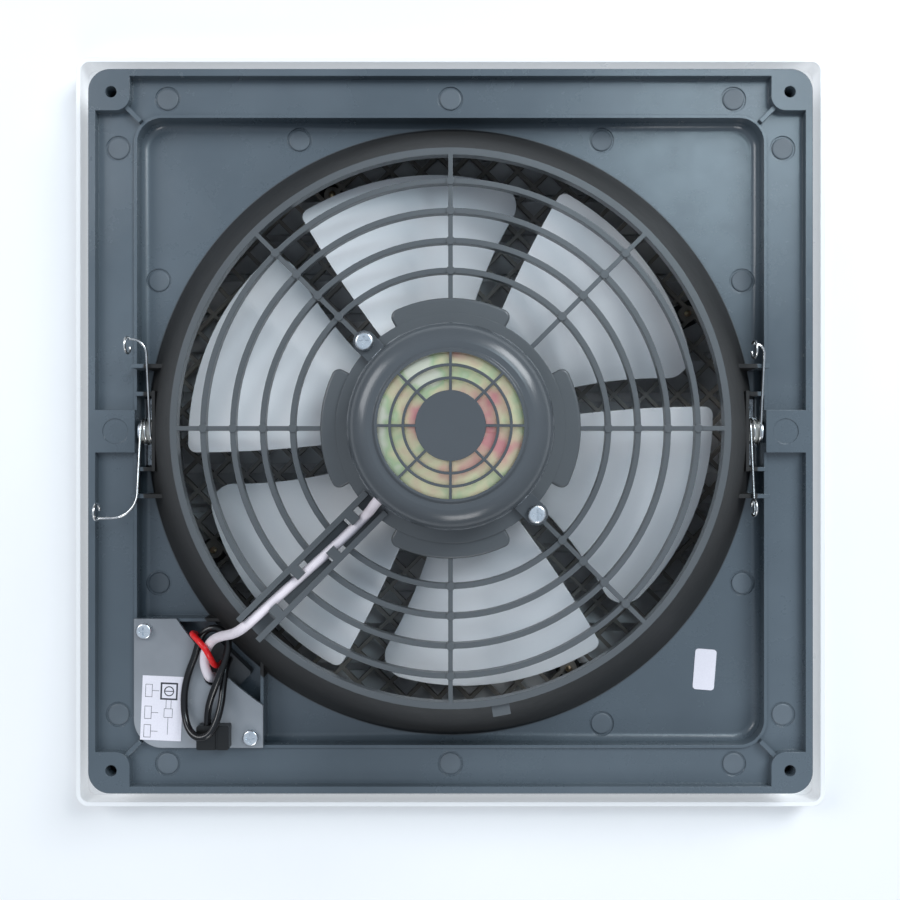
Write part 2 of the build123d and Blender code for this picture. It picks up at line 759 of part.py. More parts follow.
def motor_cap():
    inner = cap_radius - cap_wall
    top_in = cap_top - cap_wall
    lip = cap_grille_radius
    rim_out = cap_radius - 0.6
    outer = [Line((cap_radius, seat_top), (rim_out, cap_top - 12)),
             ThreePointArc((rim_out, cap_top - 12), (cap_radius - 3.6, cap_top - 4),
                           (lip + 4.5, cap_top - 0.9)),
             Line((lip + 4.5, cap_top - 0.9), (lip + 2, cap_top - 0.9)),
             Line((lip + 2, cap_top - 0.9), (lip + 1, cap_top)),
             Line((lip + 1, cap_top), (lip, cap_top)),
             Line((lip, cap_top), (lip, top_in)),
             Line((lip, top_in), (lip + 4, top_in)),
             ThreePointArc((lip + 4, top_in), (inner - 3.2, cap_top - 5.8),
                           (rim_out - cap_wall, cap_top - 12)),
             Line((rim_out - cap_wall, cap_top - 12), (inner, seat_top)),
             Line((inner, seat_top), (cap_radius, seat_top))]
    shell = revolve(Plane.XZ * make_face(Wire(outer)), Axis.Z)
    parts = [disc(cap_disc_radius, top_in, cap_top)]
    for radius in cap_grille_rings:
        parts.append(ring(radius + cap_grille_rib / 2, radius - cap_grille_rib / 2, top_in, cap_top))
    for index in range(8):
        bar = block(cap_disc_radius - 1, lip + 0.5, -cap_grille_rib / 2, cap_grille_rib / 2, top_in, cap_top)
        parts.append(Rot(0, 0, 45 * index) * bar)
    hollow = disc(inner - 0.05, seat_top - 1, seat_top + 12)
    for angle in (cap_screw_angle, cap_screw_angle + 180):
        x, y = polar(cap_screw_circle, angle)
        ear = disc(5.0, seat_top, seat_top + 2.5, x, y)
        web = Rot(0, 0, angle) * block(inner - 2, cap_screw_circle, -5, 5, seat_top, seat_top + 2.5)
        parts.append((ear + web) - hollow)
    cap = shell + parts
    for angle in (cap_screw_angle, cap_screw_angle + 180):
        x, y = polar(cap_screw_circle, angle)
        cap -= disc(1.9, seat_top - 1, seat_top + 4, x, y)
    notch = block(inner - 6, cap_radius + 4, -channel_gap / 2 + 0.8, channel_gap / 2 - 0.8,
                  seat_top - 1, lead_exit_z + motor_lead_radius + 1.2)
    return cap - Rot(0, 0, cable_angle) * notch


lead_exit_z = 79.5


def cap_screws():
    screws = []
    for angle in (cap_screw_angle, cap_screw_angle + 180):
        x, y = polar(cap_screw_circle, angle)
        screws.append(pan_head_screw(x, y, seat_top + 2.5, cap_screw_head, 2.6, 1.48, 9.0))
    return Compound(children=screws)


# Terminal box: a cover over one corner of the pocket, cut round the collar

def box_cover():
    edge = pocket_half + 1.0
    inner = box_edge - box_wall / 2
    cover = block(-edge, -inner, -edge, -inner, ridge_top, cover_top)
    corner = [side for side in cover.edges().filter_by(Axis.Z)
              if side.center().X < -edge + 1 and side.center().Y < -edge + 1]
    cover = fillet(corner, pocket_corner + 2.0)
    cover -= disc(cover_arc_radius, ridge_top - 1, cover_top + 1)
    x, y = polar(cover_arc_radius + cover_notch_depth - cover_notch_width / 2, cover_notch_angle)
    cover -= disc(cover_notch_width / 2, ridge_top - 1, cover_top + 1, x, y)
    reach = cover_arc_radius + cover_notch_depth - cover_notch_width / 2
    cover -= Rot(0, 0, cover_notch_angle) * block(reach - 20, reach, -cover_notch_width / 2,
                                                  cover_notch_width / 2, ridge_top - 1, cover_top + 1)
    for x, y in box_screw_places():
        cover -= disc(1.8, ridge_top - 1, cover_top + 1, x, y)
    return cover


def box_screws():
    return Compound(children=[pan_head_screw(x, y, cover_top, box_screw_radius, 2.2, 1.45, 7.0)
                              for x, y in box_screw_places()])


terminal_reach = (152.5, 171.0)
terminal_top = 19.5
terminal_half = 12.0


def terminal_block():
    body = block(terminal_reach[0], terminal_reach[1], -terminal_half, terminal_half,
                 pocket_floor_top, terminal_top)
    body = chamfer(body.edges().filter_by(Axis.Z), 1.0)
    return Rot(0, 0, cover_notch_angle) * body


capacitor_corner = (-128.5, -127.5)
capacitor_width = 15.0
capacitor_length = 27.0


def run_capacitor():
    x, y = capacitor_corner
    body = block(x - capacitor_width, x, y, y + capacitor_length, pocket_floor_top, pocket_floor_top + 8.8)
    return fillet(body.edges().filter_by(Axis.Z), 1.5)


connector_box = (-121.7, -106.2, -152.8, -141.2)
connector_height = 5.8


def supply_connector():
    x0, x1, y0, y1 = connector_box
    body = block(x0, x1, y0, y1, cover_top, cover_top + connector_height)
    body = fillet(body.edges().filter_by(Axis.Z), 1.0)
    return body - block(x0 + 9.0, x0 + 10.2, y0 - 1, y1 + 1, cover_top + connector_height - 0.6,
                        cover_top + connector_height + 1)


# Leads, as lists of points along the routes that the photograph shows

motor_lead_route = [
    (-23.69, -23.69, 79.5), (-29.0, -29.0, 79.5), (-32.5, -32.7, 77.2), (-35.8, -37.0, 68.8),
    (-44.6, -45.8, 68.5), (-55.4, -55.8, 68.5), (-66.4, -65.6, 68.6), (-78.4, -76.4, 68.5),
    (-90.5, -87.4, 69.7), (-97.6, -91.8, 59.6), (-105.6, -94.9, 47.0), (-112.4, -98.7, 37.2),
    (-116.6, -104.4, 32.0), (-118.0, -109.6, 29.9), (-117.6, -114.2, 28.8), (-116.0, -120.0, 25.9),
    (-116.0, -120.0, 19.5)]

capacitor_lead_route = [
    (-128.5, -104.4, 17.8), (-124.6, -104.4, 17.8), (-123.4, -99.0, 21.4), (-124.6, -97.0, 27.6),
    (-121.6, -97.4, 34.4), (-115.8, -101.2, 39.2), (-113.4, -106.2, 37.6), (-112.8, -111.2, 32.6),
    (-112.4, -113.4, 26.0), (-112.4, -113.4, 19.5)]

supply_lead_route = [
    (-117.0, -141.2, 27.4), (-117.0, -135.2, 27.4), (-114.8, -127.6, 29.4), (-111.3, -119.4, 31.6),
    (-107.8, -110.6, 32.6), (-105.4, -102.0, 32.0), (-107.4, -96.2, 31.4), (-112.8, -93.7, 30.8),
    (-118.2, -95.8, 30.2), (-120.8, -101.4, 29.4), (-122.8, -108.2, 28.2), (-126.2, -116.0, 27.0),
    (-128.4, -125.0, 26.6), (-128.4, -134.8, 27.2), (-125.8, -142.6, 30.0), (-120.4, -146.4, 33.2),
    (-114.6, -144.8, 34.2), (-111.2, -138.8, 33.4), (-109.6, -131.0, 30.4), (-109.4, -122.6, 27.4),
    (-108.8, -115.4, 26.4), (-108.2, -111.6, 23.4), (-108.2, -111.6, 19.5)]


def wiring_label():
    label = Box(19.8, 31.2, 0.22)
    return Pos(-139.9, -134.2, cover_top + 0.11) * Rot(0, 0, -2.5) * label


def blank_sticker():
    sticker = extrude(RectangleRounded(10.6, 20.2, 1.6), 0.22)
    return Pos(126.2, -117.9, pocket_floor_top) * Rot(0, 0, -4.5) * sticker


parts = {
    "front_panel": front_panel(),
    "base_frame": base_frame(),
    "outlet_guard": outlet_guard(),
    "intake_lattice": intake_lattice(),
    "lattice_screws": lattice_screws(),
    "impeller": impeller(),
    "rotor_shaft": rotor_shaft(),
    "drive_pin": drive_pin(),
    "impeller_washer": impeller_washer(),
    "impeller_nut": impeller_nut(),
    "rotor_core": rotor_core(),
    "motor_shell_front": motor_shell_front(),
    "motor_shell_rear": motor_shell_rear(),
    "bearing_front": bearing(motor_bottom + motor_wall),
    "bearing_rear": bearing(motor_top - motor_wall - bearing_height),
    "stator_core": stator_core(),
    "stator_windings": stator_windings(),
    "motor_screws": motor_screws(),
    "motor_cap": motor_cap(),
    "cap_screws": cap_screws(),
    "box_cover": box_cover(),
    "box_screws": box_screws(),
    "terminal_block": terminal_block(),
    "run_capacitor": run_capacitor(),
    "supply_connector": supply_connector(),
    "motor_lead": lead("motor lead", motor_lead_route, motor_lead_radius),
    "capacitor_lead": lead("capacitor lead", capacitor_lead_route, capacitor_lead_radius),
    "supply_lead": lead("supply lead", supply_lead_route, supply_lead_radius),
    "wiring_label": wiring_label(),
    "blank_sticker": blank_sticker(),
    "spring_holder_left": spring_holder(-1),
    "spring_holder_right": spring_holder(1),
    "spring_pins": spring_pins(),
    "holder_screws": holder_screws(),
    "spring_coil_left": spring_coil(-1),
    "spring_coil_right": spring_coil(1),
    "spring_arm_left_upper": spring_arm(-1, 1, 38.0, 7.0, 1.0),
    "spring_arm_left_lower": spring_arm(-1, -1, 31.0, 12.0, 6.0),
    "spring_arm_right_upper": spring_arm(1, 1, 38.0, 4.9, 0.8),
    "spring_arm_right_lower": spring_arm(1, -1, 40.0, 1.0, 0.08),
}

os.makedirs("parts", exist_ok=True)
for name, shape in parts.items():
    export_step(shape, "parts/" + name + ".step")
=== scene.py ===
import math

import bmesh
import bpy
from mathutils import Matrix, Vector


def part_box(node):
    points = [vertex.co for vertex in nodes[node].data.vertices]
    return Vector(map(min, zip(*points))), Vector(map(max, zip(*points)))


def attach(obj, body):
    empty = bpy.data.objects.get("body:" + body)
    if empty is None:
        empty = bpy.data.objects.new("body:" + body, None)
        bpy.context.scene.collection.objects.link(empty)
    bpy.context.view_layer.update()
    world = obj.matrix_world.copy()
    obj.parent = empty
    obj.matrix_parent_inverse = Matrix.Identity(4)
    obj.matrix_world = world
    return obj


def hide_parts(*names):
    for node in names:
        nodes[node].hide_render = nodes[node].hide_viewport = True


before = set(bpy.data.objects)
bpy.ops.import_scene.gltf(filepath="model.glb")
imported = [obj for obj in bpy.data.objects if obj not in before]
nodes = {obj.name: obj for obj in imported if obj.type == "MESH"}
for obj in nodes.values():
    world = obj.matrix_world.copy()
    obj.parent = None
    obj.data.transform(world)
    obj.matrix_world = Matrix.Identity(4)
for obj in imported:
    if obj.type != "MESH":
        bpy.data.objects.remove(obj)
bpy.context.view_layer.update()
mm = 0.001

# The camera looks straight down on the duct side from half a metre, as the photograph does.
# Its lens gives the photograph's 940 pixels of focal length on a 900 pixel picture, and the
# small shift puts the fan's axis where the photograph has it.

camera_height = 480 * mm
camera_back = -13.4 * mm
nearest_seen = 10 * mm
lens_mm = 37.6
sensor_mm = 36.0
picture_pixels = 900
axis_pixel_x = 450.5
axis_pixel_y = 459.0

camera_data = bpy.data.cameras.new("camera")
camera_data.lens = lens_mm
camera_data.sensor_width = sensor_mm
camera_data.shift_x = (picture_pixels / 2 - axis_pixel_x) / picture_pixels
camera_data.shift_y = (axis_pixel_y - picture_pixels / 2) / picture_pixels
camera_data.clip_start = nearest_seen
camera = bpy.data.objects.new("camera", camera_data)
camera.location = (0, camera_back, camera_height)
bpy.context.scene.collection.objects.link(camera)
bpy.context.scene.camera = camera


# The supply lead is a limp black two-core flex. It leaves the connector on the box cover, makes
# one upright loop under the motor lead, and goes down through the cover's notch to the
# terminal block.

def material(name):
    made = bpy.data.materials.new(name)
    made.use_nodes = True
    return made, made.node_tree.nodes, made.node_tree.links, made.node_tree.nodes["Principled BSDF"]


def object_place(tree_nodes, links):
    place = tree_nodes.new("ShaderNodeTexCoord")
    spread = tree_nodes.new("ShaderNodeMapping")
    links.new(place.outputs["Object"], spread.inputs["Vector"])
    return spread.outputs["Vector"]


def noise(tree_nodes, links, vector, scale, detail=4.0, roughness=0.55):
    made = tree_nodes.new("ShaderNodeTexNoise")
    made.inputs["Scale"].default_value = scale
    made.inputs["Detail"].default_value = detail
    made.inputs["Roughness"].default_value = roughness
    links.new(vector, made.inputs["Vector"])
    return made.outputs["Fac"]


def ramp(tree_nodes, links, value, stops):
    made = tree_nodes.new("ShaderNodeValToRGB")
    made.color_ramp.elements[0].position = stops[0][0]
    made.color_ramp.elements[0].color = (*stops[0][1], 1)
    made.color_ramp.elements[1].position = stops[-1][0]
    made.color_ramp.elements[1].color = (*stops[-1][1], 1)
    for position, colour in stops[1:-1]:
        made.color_ramp.elements.new(position).color = (*colour, 1)
    links.new(value, made.inputs["Fac"])
    return made.outputs["Color"]


cloud_low = 0.3
cloud_high = 0.7


def clouded(tree_nodes, links, value, low_colour, high_colour):
    return ramp(tree_nodes, links, value, [(cloud_low, low_colour), (cloud_high, high_colour)])


def varied(tree_nodes, links, value, colour, vary):
    low_colour, high_colour = (tuple(min(1.0, channel * factor) for channel in colour)
                               for factor in (1 - vary, 1 + vary))
    return clouded(tree_nodes, links, value, low_colour, high_colour)


def span(tree_nodes, links, value, low, high):
    made = tree_nodes.new("ShaderNodeMapRange")
    made.inputs["To Min"].default_value = low
    made.inputs["To Max"].default_value = high
    links.new(value, made.inputs["Value"])
    return made.outputs["Result"]


def bump(tree_nodes, links, shader, heights, edge=0.0):
    normal = None
    if edge:
        rounded = tree_nodes.new("ShaderNodeBevel")
        rounded.samples = 4
        rounded.inputs["Radius"].default_value = edge
        normal = rounded.outputs["Normal"]
    for height, strength, distance in heights:
        made = tree_nodes.new("ShaderNodeBump")
        made.inputs["Strength"].default_value = strength
        made.inputs["Distance"].default_value = distance
        links.new(height, made.inputs["Height"])
        if normal is not None:
            links.new(normal, made.inputs["Normal"])
        normal = made.outputs["Normal"]
    links.new(normal, shader.inputs["Normal"])


supply_lead_diameter = 3.4 * mm
supply_lead_route = [
    (-117.0, -141.2, 27.4), (-117.0, -135.2, 27.4), (-114.8, -127.6, 29.4), (-111.3, -119.4, 31.6),
    (-107.8, -110.6, 32.6), (-105.4, -102.0, 32.0), (-107.4, -96.2, 31.4), (-112.8, -93.7, 30.8),
    (-118.2, -95.8, 30.2), (-120.8, -101.4, 29.4), (-122.8, -108.2, 28.2), (-126.2, -116.0, 27.0),
    (-128.4, -125.0, 26.6), (-128.4, -134.8, 27.2), (-125.8, -142.6, 30.0), (-120.4, -146.4, 33.2),
    (-114.6, -144.8, 34.2), (-111.2, -138.8, 33.4), (-109.6, -131.0, 30.4), (-109.4, -122.6, 27.4),
    (-108.8, -115.4, 26.4), (-108.2, -111.6, 23.4), (-108.2, -111.6, 19.5)]


def smooth_lead(name, route, diameter):
    curve = bpy.data.curves.new(name, "CURVE")
    curve.dimensions = "3D"
    curve.bevel_depth = diameter / 2
    curve.bevel_resolution = 8
    curve.use_fill_caps = True
    line = curve.splines.new("NURBS")
    line.points.add(len(route) - 1)
    for point, place in zip(line.points, route):
        point.co = (*[value * mm for value in place], 1)
    line.order_u = 3
    line.use_endpoint_u = True
    line.resolution_u = 12
    made = bpy.data.objects.new(name, curve)
    bpy.context.scene.collection.objects.link(made)
    return made


sheath_cloud_scale = 60.0
sheath_cloud_depth = 0.3 * mm
scuff_scale = 240.0
scuff_depth = 0.06 * mm
scuff_smoothest = 0.75
scuff_roughest = 1.3


def sheath(name, colour, roughness, vary=0.08):
    made, tree_nodes, links, shader = material(name)
    place = object_place(tree_nodes, links)
    cloud = noise(tree_nodes, links, place, sheath_cloud_scale, detail=3.0)
    links.new(varied(tree_nodes, links, cloud, colour, vary), shader.inputs["Base Color"])
    scuff = noise(tree_nodes, links, place, scuff_scale, detail=3.0, roughness=0.7)
    links.new(span(tree_nodes, links, scuff, roughness * scuff_smoothest, roughness * scuff_roughest),
              shader.inputs["Roughness"])
    bump(tree_nodes, links, shader, [(cloud, 0.3, sheath_cloud_depth), (scuff, 0.25, scuff_depth)])
    return made


supply_lead = smooth_lead("supply_flex", supply_lead_route, supply_lead_diameter)
supply_lead.data.materials.append(sheath("black_sheath", colour=(0.006, 0.006, 0.007), roughness=0.2))
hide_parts("supply_lead")
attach(supply_lead, "frame")


# The motor lead is a white round sheath, held in the guard's channel by four hooks and led
# over the collar's edge, and the capacitor lead is a single red wire. Both end in the
# terminal block under the box cover.

motor_lead_diameter = 4.5 * mm
motor_lead_route = [
    (-23.69, -23.69, 79.5), (-29.0, -29.0, 79.5), (-32.5, -32.7, 77.2), (-35.8, -37.0, 68.8),
    (-44.6, -45.8, 68.5), (-55.4, -55.8, 68.5), (-66.4, -65.6, 68.6), (-78.4, -76.4, 68.5),
    (-90.5, -87.4, 69.7), (-97.6, -91.8, 59.6), (-105.6, -94.9, 47.0), (-112.4, -98.7, 37.2),
    (-116.6, -104.4, 32.0), (-118.0, -109.6, 29.9), (-117.6, -114.2, 28.8), (-116.0, -120.0, 25.9),
    (-116.0, -120.0, 19.5)]
capacitor_lead_diameter = 2.8 * mm
capacitor_lead_route = [
    (-128.5, -104.4, 17.8), (-124.6, -104.4, 17.8), (-123.4, -99.0, 21.4), (-124.6, -97.0, 27.6),
    (-121.6, -97.4, 34.4), (-115.8, -101.2, 39.2), (-113.4, -106.2, 37.6), (-112.8, -111.2, 32.6),
    (-112.4, -113.4, 26.0), (-112.4, -113.4, 19.5)]

motor_lead = smooth_lead("motor_flex", motor_lead_route, motor_lead_diameter)
motor_lead.data.materials.append(
    sheath("white_sheath", colour=(0.86, 0.78, 0.82), roughness=0.42, vary=0.06))
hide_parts("motor_lead")
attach(motor_lead, "frame")
capacitor_lead = smooth_lead("capacitor_wire", capacitor_lead_route, capacitor_lead_diameter)
capacitor_lead.data.materials.append(
    sheath("red_sheath", colour=(0.85, 0.014, 0.016), roughness=0.3))
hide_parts("capacitor_lead")
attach(capacitor_lead, "frame")


# The front panel is a white styrene moulding, semi-gloss on the outside, with louvre slats
# over the intake. It hangs on the two springs, and its lip closes round the frame. Its outer
# lip band carries a faint painted glow, an emission that stands in for light through the thin wall.

tint_scale = 9.0
grain_scale = 900.0
flow_scale = 22.0
smear_scale = 48.0


def moulded(name, colour, rough_low, rough_high, grain=0.04 * mm, flow=0.12 * mm, vary=0.12, edge=0.0):
    made, tree_nodes, links, shader = material(name)
    place = object_place(tree_nodes, links)
    cloud = noise(tree_nodes, links, place, tint_scale, detail=5.0, roughness=0.6)
    fine = noise(tree_nodes, links, place, grain_scale, detail=2.0)
    slow = noise(tree_nodes, links, place, flow_scale, detail=2.0, roughness=0.4)
    links.new(varied(tree_nodes, links, cloud, colour, vary), shader.inputs["Base Color"])
    smear = noise(tree_nodes, links, place, smear_scale, detail=4.0, roughness=0.7)
    links.new(span(tree_nodes, links, smear, rough_low, rough_high), shader.inputs["Roughness"])
    bump(tree_nodes, links, shader, [(slow, 0.35, flow), (fine, 0.3, grain)], edge)
    return made


def dress(made, *names):
    for name in names:
        data = nodes[name].data
        data.materials.clear()
        data.materials.append(made)


# Painted glow: where the emission starts and ends across the lip band, and how bright and blue it is.
painted_glow_start = 170 * mm
painted_glow_full = 176 * mm
lip_painted_glow = 0.30
lip_painted_glow_colour = (0.94, 0.97, 1.0, 1.0)


def styrene_with_painted_glow():
    made = moulded("white_styrene_painted_glow", colour=(0.66, 0.67, 0.68), rough_low=0.22, rough_high=0.38,
                   vary=0.015, edge=0.6 * mm)
    tree_nodes, links = made.node_tree.nodes, made.node_tree.links
    shader = tree_nodes["Principled BSDF"]
    split = tree_nodes.new("ShaderNodeSeparateXYZ")
    links.new(object_place(tree_nodes, links), split.inputs["Vector"])
    sides = []
    for axis in ("X", "Y"):
        reach = tree_nodes.new("ShaderNodeMath")
        reach.operation = "ABSOLUTE"
        links.new(split.outputs[axis], reach.inputs[0])
        sides.append(reach.outputs["Value"])
    far = tree_nodes.new("ShaderNodeMath")
    far.operation = "MAXIMUM"
    for socket, side in zip(far.inputs, sides):
        links.new(side, socket)
    # Painted glow: the emission ramps up over the outer lip band, though the panel is no lamp.
    painted_glow_ramp = tree_nodes.new("ShaderNodeMapRange")
    painted_glow_ramp.inputs["From Min"].default_value = painted_glow_start
    painted_glow_ramp.inputs["From Max"].default_value = painted_glow_full
    painted_glow_ramp.inputs["To Max"].default_value = lip_painted_glow
    links.new(far.outputs["Value"], painted_glow_ramp.inputs["Value"])
    links.new(painted_glow_ramp.outputs["Result"], shader.inputs["Emission Strength"])
    shader.inputs["Emission Color"].default_value = lip_painted_glow_colour
    return made


dress(styrene_with_painted_glow(), "front_panel")


# The base frame is one moulding in slate grey ABS with a glossy face. The collar on it is
# the same plastic with a duller skin, where the mould was rougher; its colour is darkened to
# near black as painted shade for its steep, shaded walls.

collar_foot = 150.0 * mm
collar_blend = 0.8 * mm
slate_low = (0.068, 0.088, 0.106)
slate_high = (0.102, 0.130, 0.154)
# Painted shade: near-black colours for the collar's steep walls.
collar_painted_shade_low = (0.005, 0.005, 0.005)
collar_painted_shade_high = (0.009, 0.009, 0.009)
slate_tint_scale = 7.0
slate_grain_scale = 800.0
slate_grain_depth = 0.04 * mm
slate_flow_scale = 16.0
slate_flow_depth = 0.7 * mm
slate_smear_scale = 15.0
slate_smoothest = 0.02
slate_roughest = 0.50
collar_dulling = 0.40
slate_specular = 0.6


def frame_plastic():
    made, tree_nodes, links, shader = material("slate_abs")
    place = object_place(tree_nodes, links)
    split = tree_nodes.new("ShaderNodeSeparateXYZ")
    links.new(place, split.inputs["Vector"])
    flat = tree_nodes.new("ShaderNodeCombineXYZ")
    links.new(split.outputs["X"], flat.inputs["X"])
    links.new(split.outputs["Y"], flat.inputs["Y"])
    reach = tree_nodes.new("ShaderNodeVectorMath")
    reach.operation = "LENGTH"
    links.new(flat.outputs["Vector"], reach.inputs[0])
    in_collar = tree_nodes.new("ShaderNodeMapRange")
    in_collar.inputs["From Min"].default_value = collar_foot + collar_blend
    in_collar.inputs["From Max"].default_value = collar_foot
    links.new(reach.outputs["Value"], in_collar.inputs["Value"])
    cloud = noise(tree_nodes, links, place, slate_tint_scale, detail=5.0, roughness=0.6)
    fine = noise(tree_nodes, links, place, slate_grain_scale, detail=2.0)
    flow = noise(tree_nodes, links, place, slate_flow_scale, detail=3.0, roughness=0.45)
    smear = noise(tree_nodes, links, place, slate_smear_scale, detail=8.0, roughness=0.72)
    grey = clouded(tree_nodes, links, cloud, slate_low, slate_high)
    # Painted shade: the collar's near-black colour stands in for the shade on its steep walls.
    collar_painted_shade = clouded(tree_nodes, links, cloud, collar_painted_shade_low, collar_painted_shade_high)
    mix = tree_nodes.new("ShaderNodeMix")
    mix.data_type = "RGBA"
    links.new(in_collar.outputs["Result"], mix.inputs["Factor"])
    links.new(grey, mix.inputs["A"])
    links.new(collar_painted_shade, mix.inputs["B"])
    links.new(mix.outputs["Result"], shader.inputs["Base Color"])
    gloss = span(tree_nodes, links, smear, slate_smoothest, slate_roughest)
    dull = tree_nodes.new("ShaderNodeMath")
    dull.operation = "MULTIPLY_ADD"
    links.new(in_collar.outputs["Result"], dull.inputs[0])
    dull.inputs[1].default_value = collar_dulling
    links.new(gloss, dull.inputs[2])
    links.new(dull.outputs["Value"], shader.inputs["Roughness"])
    bump(tree_nodes, links, shader, [(flow, 0.5, slate_flow_depth), (fine, 0.25, slate_grain_depth)],
         edge=0.5 * mm)
    shader.inputs["Specular IOR Level"].default_value = slate_specular
    return made


dress(frame_plastic(), "base_frame")


# The mould's ejector pins left round flats with a sharp rim in the frame's channel and its
# pocket. Each flat is a little rougher than the skin round it.

channel_floor = 21.5
pocket_floor = 13.0
channel_place = 162.0
channel_along = 138.0
pocket_place = 144.8
pocket_along = 75.0
pin_face = [(4.5, 0.10), (5.0, 0.02), (5.2, -0.20), (5.25, -0.55)]
pin_turns = 40


def turned_discs(name, profile, places, turns):
    sheet = bmesh.new()
    for x, y, z in places:
        rings = []
        for radius, height in profile:
            ring = []
            for step in range(turns):
                angle = 2 * math.pi * step / turns
                point = Vector((x + radius * math.cos(angle), y + radius * math.sin(angle), z + height))
                ring.append(sheet.verts.new(point * mm))
            rings.append(ring)
        sheet.faces.new(rings[0])
        for inner, outer in zip(rings, rings[1:]):
            for step in range(turns):
                after = (step + 1) % turns
                sheet.faces.new((inner[step], outer[step], outer[after], inner[after]))
        sheet.faces.new(list(reversed(rings[-1])))
    mesh = bpy.data.meshes.new(name)
    sheet.to_mesh(mesh)
    sheet.free()
    for face in mesh.polygons:
        face.use_smooth = len(face.vertices) == 4
    made = bpy.data.objects.new(name, mesh)
    bpy.context.scene.collection.objects.link(made)
    return made


pin_places = []
for along in (channel_along, 0, -channel_along):
    for side in (-1, 1):
        pin_places.append((along, side * channel_place, channel_floor))
for along in (channel_along, -channel_along):
    for side in (-1, 1):
        pin_places.append((side * channel_place, along, channel_floor))
for x, y in ((pocket_along, 1), (-pocket_along, 1), (pocket_along, -1)):
    pin_places.append((x, y * pocket_place, pocket_floor))
for side in (-1, 1):
    for y in (pocket_along, -pocket_along):
        pin_places.append((side * pocket_place, y, pocket_floor))
pin_flats = turned_discs("ejector_flats", pin_face, pin_places, pin_turns)
pin_flats.data.materials.append(
    moulded("pin_flat_abs", colour=(0.100, 0.122, 0.142), rough_low=0.34, rough_high=0.6,
            grain=0.1 * mm, flow=0.4 * mm, vary=0.3, edge=0.3 * mm))
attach(pin_flats, "frame")


# The outlet guard is a thin neutral grey moulding with a satin skin. It snaps on the collar's
# top edge and carries the motor. The intake lattice under the impeller is a paler, warm grey
# moulding, a little duller, and is screwed in place.

dress(moulded("satin_grey_guard", colour=(0.086, 0.095, 0.102), rough_low=0.24, rough_high=0.40,
              edge=0.45 * mm), "outlet_guard")
dress(moulded("warm_grey_lattice", colour=(0.250, 0.234, 0.212), rough_low=0.38, rough_high=0.55,
              edge=0.3 * mm), "intake_lattice")


# The motor cap is a moulded dome with a ring grille and a polished shoulder, held by two
# screws to the guard's ears.

dress(moulded("cap_plastic", colour=(0.072, 0.081, 0.090), rough_low=0.15, rough_high=0.28,
              flow=0.08 * mm, edge=0.4 * mm), "motor_cap")


# The impeller is a pale grey moulding with a smooth satin face, pinned on the shaft and
# held by a nut and washer.

dress(moulded("impeller_plastic", colour=(0.74, 0.76, 0.78), rough_low=0.32, rough_high=0.46,
              vary=0.04, edge=0.4 * mm), "impeller")


# Motor shells and lattice screws are yellow zinc plated: the passivated film shows bands of
# gold, green and pink. The other screws, the brackets, and the impeller's nut and washer are
# bright zinc.

scratch_scale = 700.0
scratch_depth = 0.03 * mm
film_depth = 0.4 * mm


def plated(name, stops, rough_low, rough_high, film_scale):
    made, tree_nodes, links, shader = material(name)
    place = object_place(tree_nodes, links)
    film = noise(tree_nodes, links, place, film_scale, detail=3.0, roughness=0.5)
    scratch = noise(tree_nodes, links, place, scratch_scale, detail=4.0, roughness=0.7)
    links.new(ramp(tree_nodes, links, film, stops), shader.inputs["Base Color"])
    links.new(span(tree_nodes, links, scratch, rough_low, rough_high), shader.inputs["Roughness"])
    bump(tree_nodes, links, shader, [(film, 0.2, film_depth), (scratch, 0.3, scratch_depth)])
    shader.inputs["Metallic"].default_value = 1.0
    return made


yellow_film = [(0.36, (0.92, 0.40, 0.38)), (0.44, (0.94, 0.70, 0.48)), (0.50, (0.95, 0.86, 0.54)),
               (0.56, (0.66, 0.78, 0.46)), (0.62, (0.98, 0.94, 0.74))]
bright_film = [(0.35, (0.66, 0.70, 0.74)), (0.65, (0.88, 0.90, 0.92))]
dress(plated("yellow_zinc", yellow_film, rough_low=0.28, rough_high=0.46, film_scale=42.0),
      "motor_shell_front", "motor_shell_rear", "lattice_screws")
dress(plated("bright_zinc", bright_film, rough_low=0.18, rough_high=0.34, film_scale=160.0),
      "cap_screws", "box_screws", "motor_screws", "holder_screws", "spring_holder_left",
      "spring_holder_right", "impeller_washer", "impeller_nut")


# The shaft, drive pin, bearings, rotor and laminations are bare steel, ground or punched.
# The windings are varnished copper.

ground_film = [(0.35, (0.42, 0.42, 0.43)), (0.65, (0.60, 0.60, 0.61))]
dress(plated("ground_steel", ground_film, rough_low=0.22, rough_high=0.40, film_scale=90.0),
      "rotor_shaft", "drive_pin", "bearing_front", "bearing_rear", "rotor_core", "stator_core")
dress(moulded("varnished_copper", colour=(0.42, 0.16, 0.06), rough_low=0.25, rough_high=0.4,
              flow=0.4 * mm, vary=0.25), "stator_windings")


# Each torsion spring is bright drawn wire, wound on a pale plastic spool and riding in a
# zinc bracket on the panel.

wire_film = [(0.35, (0.58, 0.58, 0.58)), (0.65, (0.80, 0.80, 0.79))]
dress(plated("spring_wire", wire_film, rough_low=0.16, rough_high=0.30, film_scale=220.0),
      "spring_coil_left", "spring_coil_right", "spring_arm_left_upper", "spring_arm_left_lower",
      "spring_arm_right_upper", "spring_arm_right_lower")
dress(moulded("pale_insulator", colour=(0.50, 0.50, 0.47), rough_low=0.35, rough_high=0.5, vary=0.04),
      "spring_pins")


# The box cover is a satin grey moulding over the terminal corner, with a black connector on
# it. The capacitor is potted in a black case underneath, beside a dark grey terminal block.

